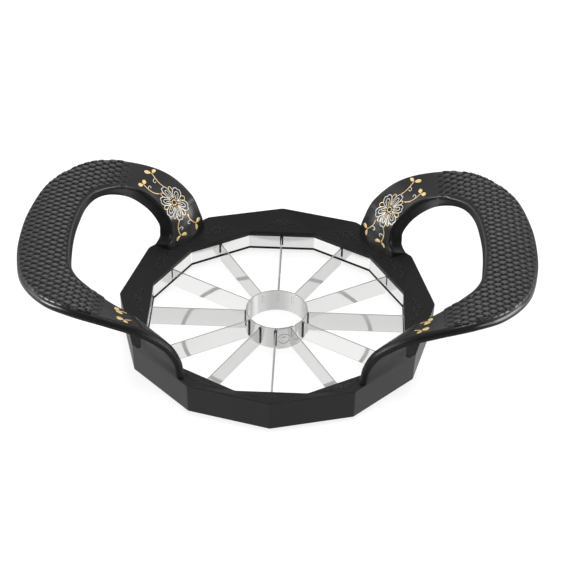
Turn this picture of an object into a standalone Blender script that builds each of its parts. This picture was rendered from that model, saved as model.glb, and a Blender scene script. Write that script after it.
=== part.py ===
"""Apple slicer and corer: a twelve-sided moulded frame with two ear-shaped
handles, a lower retaining ring on six screws, and a steel cartridge of a
folded band, twelve radial blades and a rolled core ring.

Metres, +Z up. The origin is on the board under the core's centre: the steel
stands on the board, and the handles lie along X."""

import math

import bmesh
import bpy
from mathutils import Matrix, Vector

MM = 0.001

SIDES = 12
SECTOR = 2 * math.pi / SIDES
HALF_SECTOR = SECTOR / 2

# Clearances
CLEARANCE = 0.3 * MM
OVERRUN = 1.0 * MM
FLUSH_INSET = 0.02 * MM

# Frame: the opening, the sloping rim round it and the outer wall
STEEL_PROUD = 2.2 * MM
OPENING_CORNER_RADIUS = 52.5 * MM
RIM_WIDTH = 8.0 * MM
WALL_DRAFT = 0.4 * MM
WALL_HEIGHT = 13.1 * MM
WALL_THICKNESS = 2.0 * MM
ROOF_THICKNESS = 2.0 * MM
RIM_FALL = 4.6 * MM
RIM_EDGE_ROUND = 0.4 * MM
LIP_HEIGHT = 1.0 * MM
SOCKET_WALL = 2.2 * MM

# Steel band on the inside of the frame
BAND_SETBACK = 0.25 * MM
BAND_THICKNESS = 0.5 * MM

# Retaining ring and its screws
RING_THICKNESS = 2.2 * MM
RING_LIP_HEIGHT = 0.6 * MM
SCREWS = 6
SCREW_PLACE_SHARE = 0.44
SCREW_SHANK_RADIUS = 1.0 * MM
SCREW_END_COVER = 1.5 * MM
SCREW_HEAD_RADIUS = 1.9 * MM
SCREW_HEAD_HEIGHT = 0.9 * MM
SCREW_HEAD_SUNK = 0.15 * MM
CROSS_LENGTH = 1.9 * MM
CROSS_WIDTH = 0.5 * MM
CROSS_DEPTH = 0.45 * MM
BOSS_RADIUS = 2.3 * MM

# Core ring, rolled from strip with a spot-welded lap at the front
CORE_OUTER_RADIUS = 12.4 * MM
CORE_THICKNESS = 0.5 * MM
CORE_ABOVE_BLADES = 1.1 * MM
LAP_GAP = 0.1 * MM
LAP_INNER_END = math.radians(303.6)
LAP_RAMP_FROM = math.radians(312)
LAP_RAMP_TO = math.radians(304.5)
LAP_OUTER_END = math.radians(272.6)
WELD_ANGLE = math.radians(285)
WELD_RADIUS = 2.3 * MM
WELD_PROUD = 0.08 * MM
ROLL_STEP = math.radians(4)

# Blades
BLADE_THICKNESS = 0.5 * MM
BLADE_BELOW_BAND = 0.7 * MM
GRIND_HEIGHT = 1.2 * MM
EDGE_SHARE = 0.3
TAB_SHOULDER = 0.7 * MM
OUTER_TAB_LENGTH = 2.0 * MM
LAP_BLADE = 10

# Handles: two lines lead along a loop's outer and hole edges, half a
# thickness inside them
GRIP_OVERHANG = 35.4 * MM
GRIP_WIDTH = 17.4 * MM
GRIP_RISE = 29.4 * MM
LOOP_SPREAD = 51.4 * MM
HOLE_SPREAD = 37.1 * MM
LEG_WIDTH = 18.6 * MM
LEG_OFFSET = 0.5 * MM
HANDLE_THICKNESS = 3.6 * MM
HANDLE_EDGE_ROUND = 0.9 * MM
GRIP_CROWN = 0.5 * MM
FOOT_CROWN = 1.8 * MM
FOOT_CROWN_START_SHARE = 0.5
FOOT_CROWN_POWER = 6
FOOT_DEPTH = 4.0 * MM

# From the grip's middle to the foot, each point gives its share of the way
# out from the foot, of the loop's spread and of its rise above the rim
OUTER_EDGE_SHARES = (
    (1.000, 0.000, 0.945),
    (0.985, 0.285, 0.945),
    (0.920, 0.600, 0.962),
    (0.780, 0.824, 0.980),
    (0.608, 0.940, 0.975),
    (0.385, 0.985, 0.880),
    (0.213, 0.983, 0.735),
    (0.078, 0.950, 0.480),
    (0.018, 0.925, 0.200),
)
HOLE_EDGE_SHARES = (
    (1.000, 0.000, 0.953),
    (0.985, 0.272, 0.950),
    (0.936, 0.569, 0.942),
    (0.823, 0.782, 0.940),
    (0.646, 0.916, 0.900),
    (0.408, 0.997, 0.789),
    (0.171, 1.000, 0.588),
    (0.021, 0.982, 0.340),
    (0.000, 0.976, 0.150),
)

# How finely the curved pieces are divided
LOOP_STATIONS = 26
PATH_STEPS = 8
SECTION_STEPS = 6
CORNER_STEPS = 2
ROUND_STEPS = 24
SCREW_STEPS = 20
MERGE_DISTANCE = 0.01 * MM

PLASTIC_COLOUR = (0.022, 0.022, 0.023, 1)
STEEL_COLOUR = (0.78, 0.78, 0.77, 1)
SCREW_COLOUR = (0.55, 0.55, 0.55, 1)
FRAME_ROUGHNESS = 0.38
RING_ROUGHNESS = 0.5
BAND_ROUGHNESS = 0.16
CORE_ROUGHNESS = 0.2
BLADE_ROUGHNESS = 0.14
SCREW_ROUGHNESS = 0.35

# Sizes that follow from the ones above
FRAME_BASE_Z = STEEL_PROUD
RIM_TOP_Z = FRAME_BASE_Z + WALL_HEIGHT
RIM_INNER_Z = RIM_TOP_Z - RIM_FALL
LIP_BOTTOM_Z = RIM_INNER_Z - LIP_HEIGHT
FRAME_APOTHEM = OPENING_CORNER_RADIUS + RIM_WIDTH
FRAME_CORNER_RADIUS = FRAME_APOTHEM / math.cos(HALF_SECTOR)
OPENING_APOTHEM = OPENING_CORNER_RADIUS * math.cos(HALF_SECTOR)
BAND_INNER = OPENING_APOTHEM + BAND_SETBACK
BAND_OUTER = BAND_INNER + BAND_THICKNESS
SOCKET_INNER = BAND_OUTER + CLEARANCE
SOCKET_OUTER = SOCKET_INNER + SOCKET_WALL
SOCKET_BOTTOM_Z = FRAME_BASE_Z + RING_THICKNESS + CLEARANCE
BAND_BOTTOM_Z = FRAME_BASE_Z + RING_LIP_HEIGHT + CLEARANCE
BAND_TOP_Z = LIP_BOTTOM_Z - CLEARANCE
SLOT_WIDTH = BLADE_THICKNESS + 2 * CLEARANCE
BLADE_HEIGHT = BAND_TOP_Z - BLADE_BELOW_BAND
TAB_TOP_Z = BLADE_HEIGHT - TAB_SHOULDER
TAB_BOTTOM_Z = SOCKET_BOTTOM_Z + CLEARANCE
OUTER_TAB_END = BAND_OUTER + OUTER_TAB_LENGTH
CORE_HEIGHT = BLADE_HEIGHT + CORE_ABOVE_BLADES
RING_APOTHEM = FRAME_APOTHEM - WALL_DRAFT - WALL_THICKNESS - CLEARANCE
RING_CORNER_RADIUS = RING_APOTHEM / math.cos(HALF_SECTOR)
HALF_THICKNESS = HANDLE_THICKNESS / 2
SCREW_CIRCLE_RADIUS = SOCKET_OUTER + SCREW_PLACE_SHARE * (RING_CORNER_RADIUS - SOCKET_OUTER)
CORE_MIDDLE_RADIUS = CORE_OUTER_RADIUS - CORE_THICKNESS / 2
LAP_STEP = CORE_THICKNESS + LAP_GAP


def clear_scene():
    for thing in list(bpy.data.objects):
        bpy.data.objects.remove(thing, do_unlink=True)
    for collection in list(bpy.data.collections):
        bpy.data.collections.remove(collection)


def new_collection(name):
    collection = bpy.data.collections.new(name)
    bpy.context.scene.collection.children.link(collection)
    return collection


def new_material(name, colour, metallic, roughness):
    material = bpy.data.materials.new(name)
    material.use_nodes = True
    shader = material.node_tree.nodes["Principled BSDF"]
    shader.inputs["Base Color"].default_value = colour
    shader.inputs["Metallic"].default_value = metallic
    shader.inputs["Roughness"].default_value = roughness
    material.diffuse_color = colour
    return material


def mesh_object(name, bm, collection, material=None):
    """A new object from a bmesh, with its faces pointing outwards."""
    bmesh.ops.recalc_face_normals(bm, faces=bm.faces)
    mesh = bpy.data.meshes.new(name)
    bm.to_mesh(mesh)
    bm.free()
    thing = bpy.data.objects.new(name, mesh)
    collection.objects.link(thing)
    if material:
        mesh.materials.append(material)
    return thing


def as_cutter(thing):
    thing.hide_render = True
    thing.display_type = "WIRE"
    return thing


def boolean(target, operation, tool):
    modifier = target.modifiers.new(f"{operation.title()} {tool.name}", "BOOLEAN")
    modifier.operation = operation
    modifier.solver = "EXACT"
    modifier.object = tool


def smooth(mesh):
    mesh.shade_smooth()
    mesh.set_sharp_from_angle(angle=HALF_SECTOR)


def polar(radius, angle, z):
    return Vector((radius * math.cos(angle), radius * math.sin(angle), z))


def add_box(bm, low, high, angle=0):
    """A box between two corners, turned about Z by an angle."""
    low, high = Vector(low), Vector(high)
    place = Matrix.Translation((low + high) / 2) @ Matrix.Diagonal((*(high - low), 1))
    bmesh.ops.create_cube(bm, size=1, matrix=Matrix.Rotation(angle, 4, "Z") @ place)


def add_cylinder(bm, radius, bottom, top, matrix):
    """A capped cylinder along the matrix's own Z, from bottom to top."""
    middle = Matrix.Translation((0, 0, (bottom + top) / 2))
    bmesh.ops.create_cone(bm, cap_ends=True, segments=ROUND_STEPS, radius1=radius,
                          radius2=radius, depth=top - bottom, matrix=matrix @ middle)


def outer_ring(apothem, z):
    """Points of a twelve-sided outline with a corner on +X, with each side's middle."""
    corner = apothem / math.cos(HALF_SECTOR)
    return [(polar(apothem if i % 2 else corner, i * HALF_SECTOR, z), i % 2 == 0)
            for i in range(2 * SIDES)]


def inner_ring(apothem, z):
    """The same outline turned by half a side, as the opening is in the frame."""
    corner = apothem / math.cos(HALF_SECTOR)
    return [(polar(corner if i % 2 else apothem, i * HALF_SECTOR, z), i % 2 == 1)
            for i in range(2 * SIDES)]


def ring_body(name, rings, collection, material):
    """A closed band of faces through rings of points, the last joined to the first.

    Between an outer and an inner outline each quad is split from corner to
    corner, which gives the rim its flat triangular facets."""
    bm = bmesh.new()
    loops = [[bm.verts.new(point) for point, _ in ring] for ring in rings]
    count = 2 * SIDES
    for k, ring in enumerate(rings):
        m = (k + 1) % len(rings)
        turned = ring[0][1] != rings[m][0][1]
        for i in range(count):
            j = (i + 1) % count
            a, b, c, d = loops[k][i], loops[k][j], loops[m][j], loops[m][i]
            if not turned:
                bm.faces.new((a, b, c, d))
            elif ring[i][1]:
                bm.faces.new((a, b, c))
                bm.faces.new((a, c, d))
            else:
                bm.faces.new((a, b, d))
                bm.faces.new((b, c, d))
    return mesh_object(name, bm, collection, material)


def roof_z(apothem):
    """Height of the rim's top over a side's middle, at a distance from the axis."""
    share = (FRAME_APOTHEM - apothem) / (FRAME_APOTHEM - OPENING_CORNER_RADIUS)
    return RIM_TOP_Z - share * RIM_FALL


def smooth_path(points):
    """Evenly spread points along a smooth curve through the given ones.

    The curve starts square to the plane y = 0, as its mirror image goes on there."""
    second = points[1]
    mirrored = Vector((second.x, -second.y, second.z))
    ends = [mirrored] + points + [2 * points[-1] - points[-2]]
    dense = []
    for k in range(len(points) - 1):
        p, q, r, s = ends[k:k + 4]
        for i in range(PATH_STEPS):
            t = i / PATH_STEPS
            dense.append((2 * q + (r - p) * t + (2 * p - 5 * q + 4 * r - s) * t ** 2
                          + (3 * q - p - 3 * r + s) * t ** 3) / 2)
    dense.append(points[-1])
    lengths = [0]
    for a, b in zip(dense, dense[1:]):
        lengths.append(lengths[-1] + (b - a).length)
    spread = []
    k = 0
    for i in range(LOOP_STATIONS + 1):
        wanted = lengths[-1] * i / LOOP_STATIONS
        while k < len(dense) - 2 and lengths[k + 1] < wanted:
            k += 1
        t = (wanted - lengths[k]) / (lengths[k + 1] - lengths[k])
        spread.append(dense[k].lerp(dense[k + 1], min(t, 1)))
    return spread


def edge_path(shares, reach, spread, foot_apothem, foot_side):
    """One edge of the half loop, from the grip's middle down into the rim.

    The foot stands in the wall of the side at 45 degrees, foot_side along it."""
    out = Vector((1, 1, 0)).normalized()
    along = Vector((-1, 1, 0)).normalized()
    foot = out * foot_apothem + along * foot_side
    points = []
    for x_share, y_share, rise_share in shares:
        points.append(Vector((foot.x + (reach - foot.x) * x_share,
                              spread * y_share,
                              RIM_TOP_Z + GRIP_RISE * rise_share)))
    points.append(Vector((foot.x, foot.y, RIM_TOP_Z)))
    points = smooth_path(points)
    draft = WALL_DRAFT * FOOT_DEPTH / WALL_HEIGHT
    sunk = foot - out * draft
    points.append(Vector((sunk.x, sunk.y, RIM_TOP_Z - FOOT_DEPTH)))
    return points


def handle_section(outer, hole, travel, crown_top, crown_bottom):
    """A band across the loop with square edges, rounded at their corners."""
    across = outer - hole
    side = across.normalized()
    up = travel.cross(side).normalized()
    flat = HALF_THICKNESS - HANDLE_EDGE_ROUND
    corner = []
    for i in range(CORNER_STEPS + 1):
        turn = math.pi / 2 * i / CORNER_STEPS
        corner.append((flat + HANDLE_EDGE_ROUND * math.sin(turn),
                       flat + HANDLE_EDGE_ROUND * math.cos(turn)))
    points = []
    for i in range(SECTION_STEPS + 1):
        v = i / SECTION_STEPS
        swell = crown_top * 4 * v * (1 - v)
        points.append(hole + across * v + up * (HALF_THICKNESS + swell))
    points += [outer + side * reach + up * rise for reach, rise in corner]
    points += [outer + side * reach - up * rise for reach, rise in reversed(corner)]
    for i in range(SECTION_STEPS + 1):
        v = 1 - i / SECTION_STEPS
        swell = crown_bottom * 4 * v * (1 - v)
        points.append(hole + across * v - up * (HALF_THICKNESS + swell))
    points += [hole - side * reach - up * rise for reach, rise in corner]
    points += [hole - side * reach + up * rise for reach, rise in reversed(corner)]
    return points


def build_handle(name, collection, material):
    """Half a loop lofted between its two edges, mirrored to the whole loop."""
    foot_apothem = FRAME_APOTHEM - HALF_THICKNESS - FLUSH_INSET
    reach = FRAME_CORNER_RADIUS + GRIP_OVERHANG
    outer = edge_path(OUTER_EDGE_SHARES, reach, LOOP_SPREAD, foot_apothem,
                      LEG_OFFSET + LEG_WIDTH / 2)
    hole = edge_path(HOLE_EDGE_SHARES, reach - GRIP_WIDTH, HOLE_SPREAD, foot_apothem,
                     LEG_OFFSET - LEG_WIDTH / 2)
    bm = bmesh.new()
    sections = []
    last = len(outer) - 1
    for k in range(last + 1):
        share = min(k / LOOP_STATIONS, 1)
        foot_share = max(share - FOOT_CROWN_START_SHARE, 0) / (1 - FOOT_CROWN_START_SHARE)
        before, after = max(k - 1, 0), min(k + 1, last)
        travel = (outer[before] + hole[before]) - (outer[after] + hole[after])
        if k == 0:
            travel = Vector((0, -1, 0))
        crown_top = GRIP_CROWN * (1 - share) + FOOT_CROWN * foot_share ** FOOT_CROWN_POWER
        crown_bottom = GRIP_CROWN * (1 - share) ** 2
        points = handle_section(outer[k], hole[k], travel, crown_top, crown_bottom)
        if k == 0:
            for point in points:
                point.y = 0
        sections.append([bm.verts.new(point) for point in points])
    for one, two in zip(sections, sections[1:]):
        for i in range(len(one)):
            j = (i + 1) % len(one)
            bm.faces.new((one[i], one[j], two[j], two[i]))
    bm.faces.new(sections[-1])
    return add_front_half(mesh_object(name, bm, collection, material))


def add_front_half(handle):
    mirror = handle.modifiers.new("Front half", "MIRROR")
    mirror.use_axis = (False, True, False)
    mirror.merge_threshold = MERGE_DISTANCE
    return as_cutter(handle)


def build_housing(parts, cutters, material):
    """Frame with both handles in one moulding."""
    inner_face = FRAME_APOTHEM - WALL_THICKNESS
    rings = [
        outer_ring(FRAME_APOTHEM - WALL_DRAFT, FRAME_BASE_Z),
        outer_ring(FRAME_APOTHEM, RIM_TOP_Z - RIM_EDGE_ROUND),
        outer_ring(FRAME_APOTHEM - RIM_EDGE_ROUND, RIM_TOP_Z),
        inner_ring(OPENING_APOTHEM, RIM_INNER_Z),
        inner_ring(OPENING_APOTHEM, LIP_BOTTOM_Z),
        inner_ring(SOCKET_INNER, LIP_BOTTOM_Z),
        inner_ring(SOCKET_INNER, SOCKET_BOTTOM_Z),
        inner_ring(SOCKET_OUTER, SOCKET_BOTTOM_Z),
        inner_ring(SOCKET_OUTER, roof_z(SOCKET_OUTER) - ROOF_THICKNESS),
        outer_ring(inner_face, roof_z(inner_face) - ROOF_THICKNESS),
        outer_ring(inner_face - WALL_DRAFT, FRAME_BASE_Z),
    ]
    housing = ring_body("housing", rings, parts, material)

    right = build_handle("handle_right", cutters, material)
    left = bpy.data.objects.new("handle_left", right.data.copy())
    left.data.transform(Matrix.Rotation(math.pi, 4, "Z"))
    cutters.objects.link(add_front_half(left))
    boolean(housing, "UNION", right)
    boolean(housing, "UNION", left)

    bm = bmesh.new()
    for angle in screw_angles():
        place = Matrix.Translation(polar(SCREW_CIRCLE_RADIUS, angle, 0))
        add_cylinder(bm, BOSS_RADIUS, SOCKET_BOTTOM_Z, boss_top_z(), place)
    boolean(housing, "UNION", as_cutter(mesh_object("screw_bosses", bm, cutters)))

    bm = bmesh.new()
    for angle in screw_angles():
        place = Matrix.Translation(polar(SCREW_CIRCLE_RADIUS, angle, 0))
        add_cylinder(bm, SCREW_SHANK_RADIUS + CLEARANCE, SOCKET_BOTTOM_Z - OVERRUN,
                     screw_end_z() + CLEARANCE, place)
    boolean(housing, "DIFFERENCE", as_cutter(mesh_object("pilot_holes", bm, cutters)))

    bm = bmesh.new()
    for i in range(SIDES):
        add_box(bm,
                (SOCKET_INNER - CLEARANCE, -SLOT_WIDTH / 2, SOCKET_BOTTOM_Z - OVERRUN),
                (SOCKET_OUTER + CLEARANCE, SLOT_WIDTH / 2, TAB_TOP_Z + CLEARANCE),
                i * SECTOR)
    boolean(housing, "DIFFERENCE", as_cutter(mesh_object("tab_sockets", bm, cutters)))
    return housing


def screw_angles():
    return [SECTOR + i * 2 * math.pi / SCREWS for i in range(SCREWS)]


def boss_top_z():
    """Middle of the roof over the screws, where the bosses end."""
    return roof_z(SCREW_CIRCLE_RADIUS) - ROOF_THICKNESS / 2


def screw_head_top_z():
    return FRAME_BASE_Z + SCREW_HEAD_SUNK + SCREW_HEAD_HEIGHT


def screw_end_z():
    return roof_z(SCREW_CIRCLE_RADIUS) - ROOF_THICKNESS - SCREW_END_COVER


def build_retaining_ring(parts, cutters, material):
    """Flat ring that closes the frame from below and carries the band on its lip."""
    top_z = FRAME_BASE_Z + RING_THICKNESS
    lip_z = FRAME_BASE_Z + RING_LIP_HEIGHT
    rings = [
        inner_ring(OPENING_APOTHEM, FRAME_BASE_Z),
        inner_ring(OPENING_APOTHEM, lip_z),
        inner_ring(SOCKET_INNER, lip_z),
        inner_ring(SOCKET_INNER, top_z),
        outer_ring(RING_APOTHEM, top_z),
        outer_ring(RING_APOTHEM, FRAME_BASE_Z),
    ]
    ring = ring_body("retaining_ring", rings, parts, material)
    bm = bmesh.new()
    for angle in screw_angles():
        place = Matrix.Translation(polar(SCREW_CIRCLE_RADIUS, angle, 0))
        add_cylinder(bm, SCREW_HEAD_RADIUS + CLEARANCE, FRAME_BASE_Z - OVERRUN,
                     screw_head_top_z() + CLEARANCE, place)
    boolean(ring, "DIFFERENCE", as_cutter(mesh_object("head_recesses", bm, cutters)))
    bm = bmesh.new()
    for angle in screw_angles():
        place = Matrix.Translation(polar(SCREW_CIRCLE_RADIUS, angle, 0))
        add_cylinder(bm, SCREW_SHANK_RADIUS + CLEARANCE, FRAME_BASE_Z, top_z + OVERRUN, place)
    boolean(ring, "DIFFERENCE", as_cutter(mesh_object("shank_holes", bm, cutters)))
    return ring


def build_steel_band(parts, cutters, material):
    """Folded strip round the opening with a slot in the middle of each side."""
    rings = [
        inner_ring(BAND_INNER, BAND_BOTTOM_Z),
        inner_ring(BAND_INNER, BAND_TOP_Z),
        inner_ring(BAND_OUTER, BAND_TOP_Z),
        inner_ring(BAND_OUTER, BAND_BOTTOM_Z),
    ]
    band = ring_body("steel_band", rings, parts, material)
    bm = bmesh.new()
    for i in range(SIDES):
        add_box(bm,
                (BAND_INNER - OVERRUN, -SLOT_WIDTH / 2, TAB_BOTTOM_Z - CLEARANCE),
                (BAND_OUTER + OVERRUN, SLOT_WIDTH / 2, TAB_TOP_Z + CLEARANCE),
                i * SECTOR)
    boolean(band, "DIFFERENCE", as_cutter(mesh_object("band_slots", bm, cutters)))
    return band


def build_core_ring(parts, cutters, material):
    """Strip rolled to a tube, its outer end lapped over the inner and spot-welded."""
    bm = bmesh.new()
    turn = LAP_INNER_END + 2 * math.pi - LAP_OUTER_END
    steps = round(turn / ROLL_STEP)
    path = []
    for i in range(steps + 1):
        swept = turn * i / steps
        angle = LAP_INNER_END - swept
        ramp_start = LAP_INNER_END + 2 * math.pi - LAP_RAMP_FROM
        share = (swept - ramp_start) / (LAP_RAMP_FROM - LAP_RAMP_TO)
        share = min(max(share, 0), 1)
        path.append(bm.verts.new(polar(CORE_MIDDLE_RADIUS + share * LAP_STEP, angle, 0)))
    edges = [bm.edges.new(pair) for pair in zip(path, path[1:])]
    grown = bmesh.ops.extrude_edge_only(bm, edges=edges)["geom"]
    top = [item for item in grown if isinstance(item, bmesh.types.BMVert)]
    bmesh.ops.translate(bm, verts=top, vec=(0, 0, CORE_HEIGHT))
    core = mesh_object("core_ring", bm, parts, material)
    solidify = core.modifiers.new("Strip", "SOLIDIFY")
    solidify.thickness = CORE_THICKNESS
    solidify.offset = 0
    solidify.use_even_offset = True

    bm = bmesh.new()
    inside = CORE_MIDDLE_RADIUS
    outside = CORE_OUTER_RADIUS + LAP_STEP + WELD_PROUD
    facing = Matrix.Rotation(WELD_ANGLE, 4, "Z") @ Matrix.Rotation(math.pi / 2, 4, "Y")
    raised = Matrix.Translation((0, 0, CORE_HEIGHT / 2)) @ facing
    add_cylinder(bm, WELD_RADIUS, inside, outside, raised)
    boolean(core, "UNION", as_cutter(mesh_object("spot_weld", bm, cutters)))

    bm = bmesh.new()
    for i in range(SIDES):
        add_box(bm,
                (CORE_OUTER_RADIUS - CORE_THICKNESS - OVERRUN, -SLOT_WIDTH / 2,
                 TAB_BOTTOM_Z - CLEARANCE),
                (CORE_OUTER_RADIUS + LAP_STEP + OVERRUN, SLOT_WIDTH / 2,
                 TAB_TOP_Z + CLEARANCE),
                i * SECTOR)
    boolean(core, "DIFFERENCE", as_cutter(mesh_object("core_slots", bm, cutters)))
    smooth(core.data)
    return core


def build_blade(name, index, parts, material):
    """Flat strip on edge with a tab at each end and a ground lower edge."""
    start = CORE_OUTER_RADIUS + CLEARANCE
    if index == LAP_BLADE:
        start += LAP_STEP
    end = BAND_INNER - CLEARANCE
    inner_tab = CORE_OUTER_RADIUS - CORE_THICKNESS
    outline = [
        (start, 0), (end, 0),
        (end, TAB_BOTTOM_Z), (OUTER_TAB_END, TAB_BOTTOM_Z),
        (OUTER_TAB_END, TAB_TOP_Z), (end, TAB_TOP_Z),
        (end, BLADE_HEIGHT), (start, BLADE_HEIGHT),
        (start, TAB_TOP_Z), (inner_tab, TAB_TOP_Z),
        (inner_tab, TAB_BOTTOM_Z), (start, TAB_BOTTOM_Z),
    ]
    bm = bmesh.new()
    face = bm.faces.new([bm.verts.new((x, -BLADE_THICKNESS / 2, z)) for x, z in outline])
    grown = bmesh.ops.extrude_face_region(bm, geom=[face])["geom"]
    back = [item for item in grown if isinstance(item, bmesh.types.BMVert)]
    bmesh.ops.translate(bm, verts=back, vec=(0, BLADE_THICKNESS, 0))
    everything = bm.verts[:] + bm.edges[:] + bm.faces[:]
    bmesh.ops.bisect_plane(bm, geom=everything, plane_co=(0, 0, GRIND_HEIGHT),
                           plane_no=(0, 0, 1))
    for vert in bm.verts:
        if vert.co.z < GRIND_HEIGHT / 2:
            vert.co.y *= EDGE_SHARE
    blade = mesh_object(name, bm, parts, material)
    blade.rotation_euler = (0, 0, index * SECTOR)
    return blade


def build_screw(name, angle, parts, material):
    """Pan-head screw, head down, with a cross recess."""
    bm = bmesh.new()
    bottom = FRAME_BASE_Z + SCREW_HEAD_SUNK
    top = screw_head_top_z()
    neck = SCREW_HEAD_HEIGHT / 2
    profile = [
        (0, bottom), (SCREW_HEAD_RADIUS - neck / 2, bottom),
        (SCREW_HEAD_RADIUS, bottom + neck), (SCREW_HEAD_RADIUS, top),
        (SCREW_SHANK_RADIUS, top),
        (SCREW_SHANK_RADIUS, screw_end_z() - SCREW_SHANK_RADIUS),
        (0, screw_end_z()),
    ]
    line = [bm.verts.new((x, 0, z)) for x, z in profile]
    for a, b in zip(line, line[1:]):
        bm.edges.new((a, b))
    bmesh.ops.spin(bm, geom=bm.verts[:] + bm.edges[:], cent=(0, 0, 0), axis=(0, 0, 1),
                   angle=2 * math.pi, steps=SCREW_STEPS, use_merge=True)
    bmesh.ops.remove_doubles(bm, verts=bm.verts, dist=MERGE_DISTANCE)
    screw = mesh_object(name, bm, parts, material)
    smooth(screw.data)
    screw.location = polar(SCREW_CIRCLE_RADIUS, angle, 0)
    screw.rotation_euler = (0, 0, angle)
    return screw


def cut_cross(screw, cutters):
    """Two crossing slots in a screw's head."""
    low_z = FRAME_BASE_Z + SCREW_HEAD_SUNK - OVERRUN
    high_z = FRAME_BASE_Z + SCREW_HEAD_SUNK + CROSS_DEPTH
    for suffix, length, width in (("a", CROSS_LENGTH, CROSS_WIDTH),
                                  ("b", CROSS_WIDTH, CROSS_LENGTH)):
        bm = bmesh.new()
        add_box(bm, (-length / 2, -width / 2, low_z), (length / 2, width / 2, high_z))
        slot = as_cutter(mesh_object(f"{screw.name}_cross_{suffix}", bm, cutters))
        slot.location = screw.location
        slot.rotation_euler = screw.rotation_euler
        boolean(screw, "DIFFERENCE", slot)


def main():
    clear_scene()
    parts = new_collection("Apple slicer and corer")
    cutters = new_collection("Cutters")
    plastic = new_material("Black plastic", PLASTIC_COLOUR, 0, FRAME_ROUGHNESS)
    ring_plastic = new_material("Ring plastic", PLASTIC_COLOUR, 0, RING_ROUGHNESS)
    band_steel = new_material("Band steel", STEEL_COLOUR, 1, BAND_ROUGHNESS)
    core_steel = new_material("Core steel", STEEL_COLOUR, 1, CORE_ROUGHNESS)
    blade_steel = new_material("Blade steel", STEEL_COLOUR, 1, BLADE_ROUGHNESS)
    screw_steel = new_material("Screw steel", SCREW_COLOUR, 1, SCREW_ROUGHNESS)

    build_housing(parts, cutters, plastic)
    build_retaining_ring(parts, cutters, ring_plastic)
    build_steel_band(parts, cutters, band_steel)
    build_core_ring(parts, cutters, core_steel)
    for index in range(SIDES):
        build_blade(f"blade_{index + 1:02d}", index, parts, blade_steel)
    for number, angle in enumerate(screw_angles(), start=1):
        screw = build_screw(f"ring_screw_{number}", angle, parts, screw_steel)
        cut_cross(screw, cutters)


main()
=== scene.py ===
"""Apple slicer and corer, finished for its picture.

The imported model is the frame. The black moulding, the steel cartridge and the
foil blossoms are modelled over it, and the lower ring and its screws keep
their solids with finer materials. All lengths are in metres, with +Z up."""

import math

import bpy
import numpy as np
from bpy.props import FloatProperty, FloatVectorProperty, PointerProperty
from mathutils import Matrix, Vector


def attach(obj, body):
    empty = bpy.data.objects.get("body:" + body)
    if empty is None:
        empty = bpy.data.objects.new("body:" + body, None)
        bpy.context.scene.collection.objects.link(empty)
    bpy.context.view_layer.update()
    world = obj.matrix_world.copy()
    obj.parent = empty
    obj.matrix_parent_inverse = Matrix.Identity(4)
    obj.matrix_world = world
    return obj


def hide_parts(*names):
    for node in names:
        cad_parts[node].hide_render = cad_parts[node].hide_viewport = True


bl_info = {
    "name": "Apple slicer and corer",
    "version": (1, 0, 0),
    "blender": (4, 5, 0),
    "location": "3D View > Sidebar > Slicer",
    "description": "Models and finishes an apple slicer with two loop handles",
    "category": "Add Mesh",
}

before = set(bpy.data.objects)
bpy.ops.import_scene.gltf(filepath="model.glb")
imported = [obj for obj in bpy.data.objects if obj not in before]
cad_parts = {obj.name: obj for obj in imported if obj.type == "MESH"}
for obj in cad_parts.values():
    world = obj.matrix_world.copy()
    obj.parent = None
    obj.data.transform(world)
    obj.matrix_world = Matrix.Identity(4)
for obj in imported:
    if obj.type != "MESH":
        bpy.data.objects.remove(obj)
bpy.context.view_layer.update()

MM = 0.001
NEAR = 0.01 * MM
BODY = "root"
SIDES = 12
SECTOR = 2 * math.pi / SIDES
HALF_SECTOR = SECTOR / 2
QUARTER = math.pi / 2
# Closed lines stop just short of their start, so that their ends don't touch
NEARLY_ROUND = 0.995 * 2 * math.pi

# Frame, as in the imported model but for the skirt, which is 1 mm taller
BASE_Z = 2.2 * MM
OPENING_CORNER_RADIUS = 52.5 * MM
FRAME_APOTHEM = OPENING_CORNER_RADIUS + 8.0 * MM
OPENING_APOTHEM = OPENING_CORNER_RADIUS * math.cos(HALF_SECTOR)
FRAME_CORNER_RADIUS = FRAME_APOTHEM / math.cos(HALF_SECTOR)
WALL_DRAFT = 0.4 * MM
WALL_HEIGHT = 13.1 * MM
WALL_THICKNESS = 2 * MM
ROOF_THICKNESS = 2 * MM
RIM_TOP_Z = BASE_Z + WALL_HEIGHT
RIM_INNER_Z = RIM_TOP_Z - 4.6 * MM
LIP_BOTTOM_Z = RIM_INNER_Z - 1.0 * MM
SKIRT_BOTTOM_Z = 8.76 * MM
SOCKET_INNER = OPENING_APOTHEM + 1.05 * MM
SOCKET_OUTER = SOCKET_INNER + 2.2 * MM
SOCKET_BOTTOM_Z = BASE_Z + 2.5 * MM

# Steel cartridge, as in the imported model but for the dark beads of painted shade at the blade
# joints
BAND_INNER = OPENING_APOTHEM + 0.25 * MM
SKIRT_OUTER = BAND_INNER - 0.04 * MM
BAND_BOTTOM_Z = 3.1 * MM
BAND_SLIT_Z = 4.2 * MM
BAND_TOP_Z = 9.4 * MM
BLADE_TOP_Z = 8.7 * MM
TAB_STEP_Z = 4.3 * MM
TAB_BOTTOM_Z = 5.0 * MM
TAB_TOP_Z = 8.0 * MM
TAB_REACH = 1.6 * MM
CORE_RADIUS = 12.4 * MM
CORE_HEIGHT = 9.8 * MM
CORE_SLIT = 0.66 * MM
LAP_GAP = 0.06 * MM
LAP_INNER_END = math.radians(303.6)
LAP_OUTER_END = math.radians(272.6)
LAP_RAMP_FROM = math.radians(312)
LAP_RAMP_TO = math.radians(304.5)
WELD_ANGLE = math.radians(285)
# Radius of the beads that paint the shade in the gaps where the blades meet the core ring
SHADE_BEAD_RADIUS = 0.38 * MM

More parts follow.
